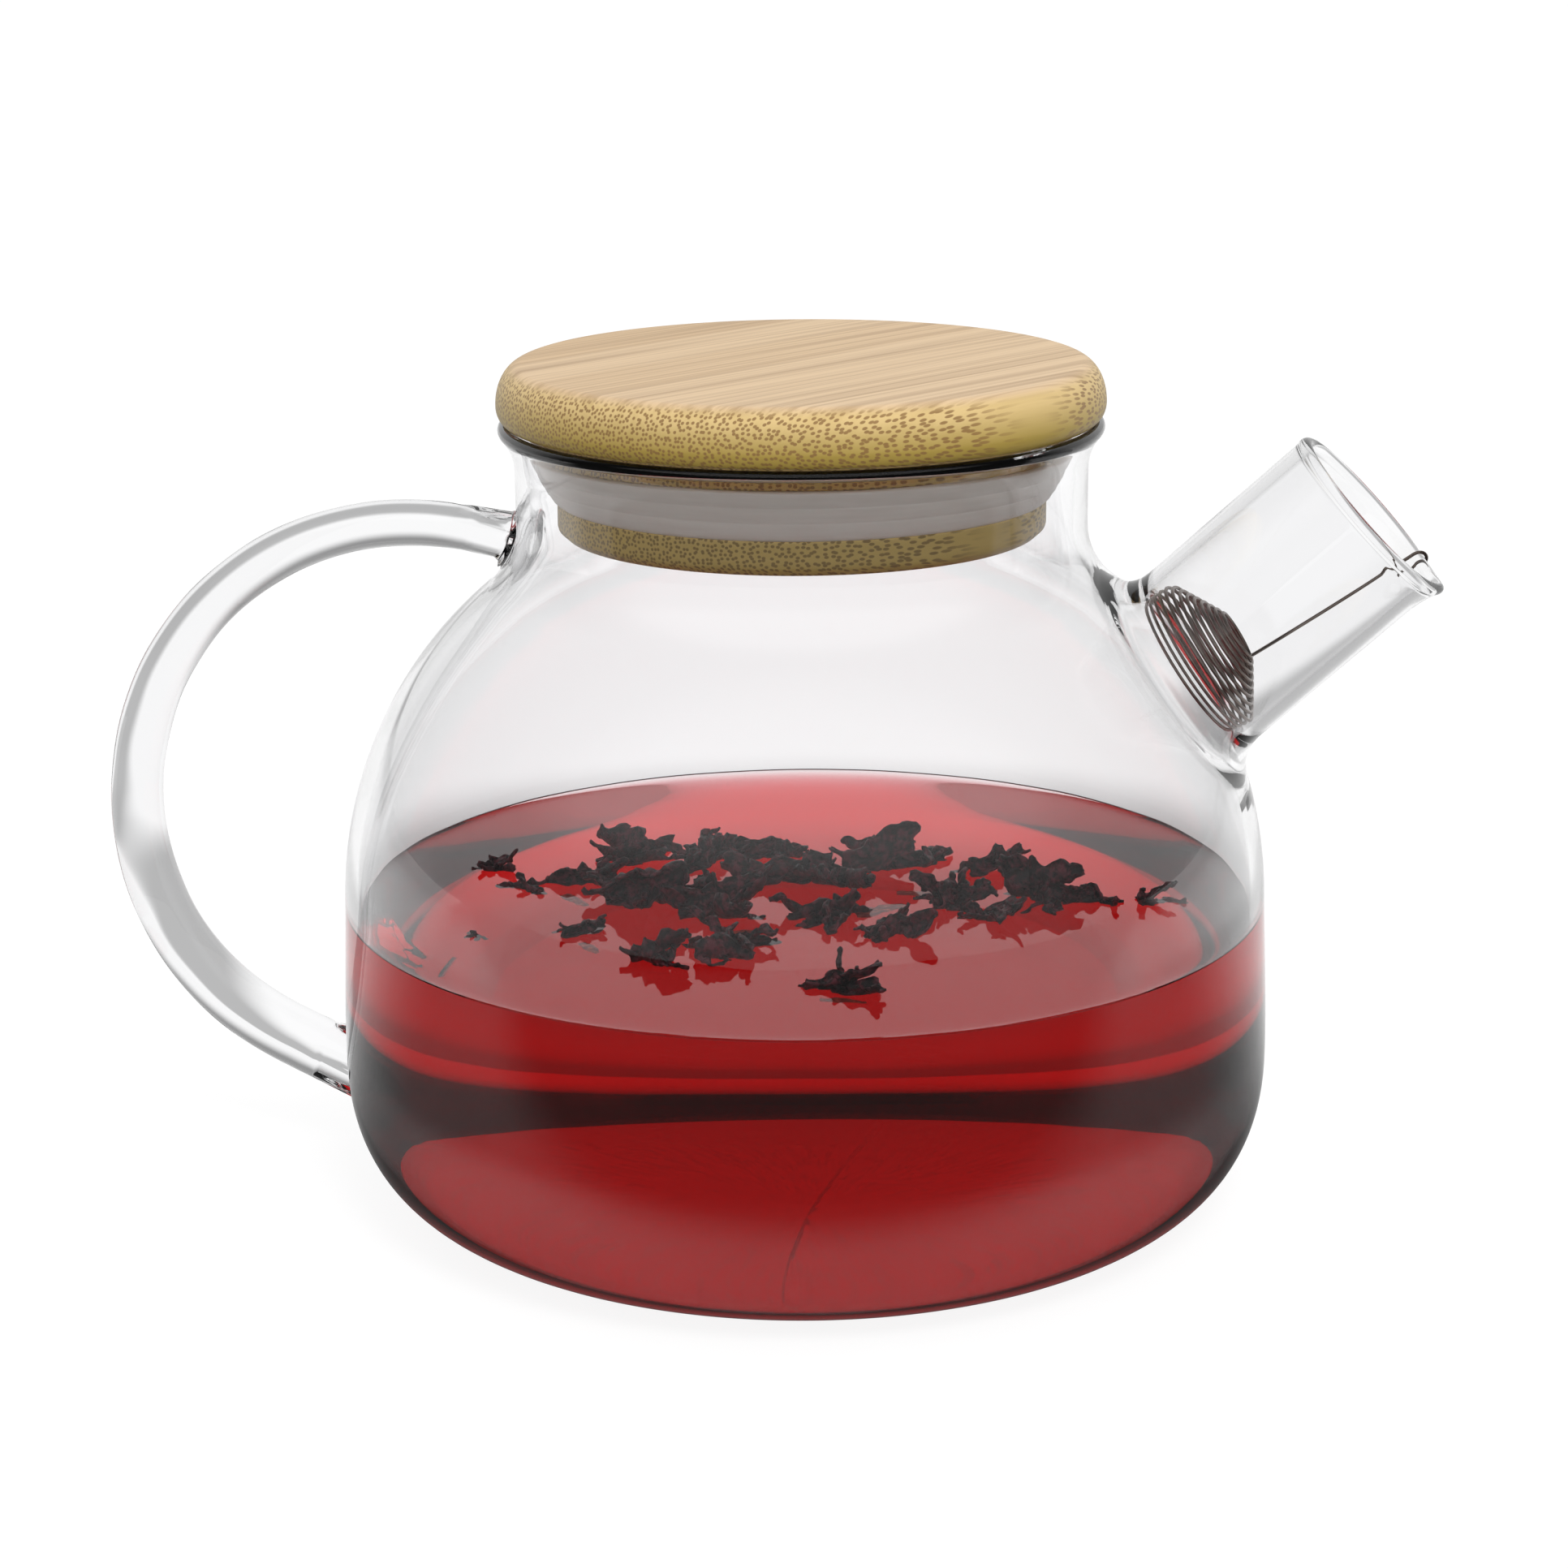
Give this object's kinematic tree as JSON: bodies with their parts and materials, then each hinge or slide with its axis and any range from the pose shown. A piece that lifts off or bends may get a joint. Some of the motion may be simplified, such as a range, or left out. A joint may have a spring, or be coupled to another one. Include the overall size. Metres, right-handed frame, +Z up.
{
  "type": "glass teapot",
  "caption": "Round clear glass teapot with a rod handle, straight tube spout with a coil-spring filter, and a flat bamboo lid with a silicone seal, half full of red tea.",
  "frame": {"origin": "centre of the pot's flat base, on the surface it stands on", "axes": "+Z up along the pot's axis, +X towards the spout, the handle on -X"},
  "size_m": [0.1955, 0.135, 0.1225],
  "materials": {
    "glass": "clear, fire-polished",
    "bamboo": "sanded, clear satin oil",
    "bamboo_plug": "sanded, clear satin oil",
    "silicone": "translucent, matt",
    "steel_wire": "drawn wire",
    "tea": "clear liquid",
    "petal": "dried petal"
  },
  "bodies": {
    "pot": {"glass_body": "glass", "spout": "glass", "spout_weld": "glass", "handle": "glass", "upper_weld": "glass", "lower_weld": "glass", "tea": "tea", "hibiscus_petals": "petal"},
    "lid": {"lid_cap": "bamboo", "lid_plug": "bamboo_plug", "seal_ring": "silicone"},
    "filter": {"filter_spring": "steel_wire"}
  },
  "joints": [
    {"name": "lid_lift", "type": "slide", "parent": "pot", "child": "lid", "axis": [0, 0, 1], "range_m": [0, 0.045]},
    {"name": "filter_pull", "type": "slide", "parent": "pot", "child": "filter", "axis": [0.7314, 0, 0.682], "range_m": [0, 0.042]}
  ]
}
